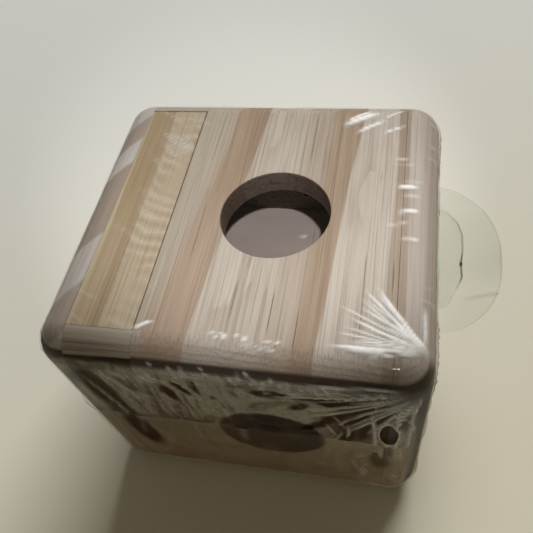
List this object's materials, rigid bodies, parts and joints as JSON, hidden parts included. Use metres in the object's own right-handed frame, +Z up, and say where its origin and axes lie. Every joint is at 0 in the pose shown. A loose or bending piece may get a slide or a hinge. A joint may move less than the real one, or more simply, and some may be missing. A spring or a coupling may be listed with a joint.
{
  "type": "wooden instrument case",
  "caption": "Hollow case of glued pine boards with rounded edges, a round opening in the top and in the front and a shelf inside, sealed in clear shrink film.",
  "frame": {"origin": "centre of the case's underside, on the surface that it rests on", "axes": "+Z up; -Y out of the front with the round opening; +X to the right seen from the front, the side with the film ear"},
  "size_m": [0.1473, 0.115, 0.101],
  "materials": {
    "streaked_pine": "planed pine, pale pinkish beige with brown streaks running front to back",
    "curly_pine": "planed yellowish wood with a curly cross figure",
    "grey_pine": "planed greyish pine with brown cathedral grain",
    "beige_pine": "planed beige pine",
    "front_pine": "planed brownish pine",
    "bottom_pine": "planed pine",
    "dark_pine": "rough-sawn brown pine",
    "shelf_pine": "smooth greyish pink pine",
    "shrink_film": "clear glossy shrink film with wrinkles at the corners"
  },
  "bodies": {
    "root": {"left_side_board": "grey_pine", "right_side_board": "beige_pine", "front_board": "front_pine", "back_board": "dark_pine", "top_board": "streaked_pine", "top_inlay_strip": "curly_pine", "bottom_board": "bottom_pine", "shelf_board_wide": "shelf_pine", "shelf_board_narrow": "shelf_pine", "film_upper_sheet": "shrink_film", "film_lower_sheet": "shrink_film", "film_ear": "shrink_film"}
  },
  "joints": []
}
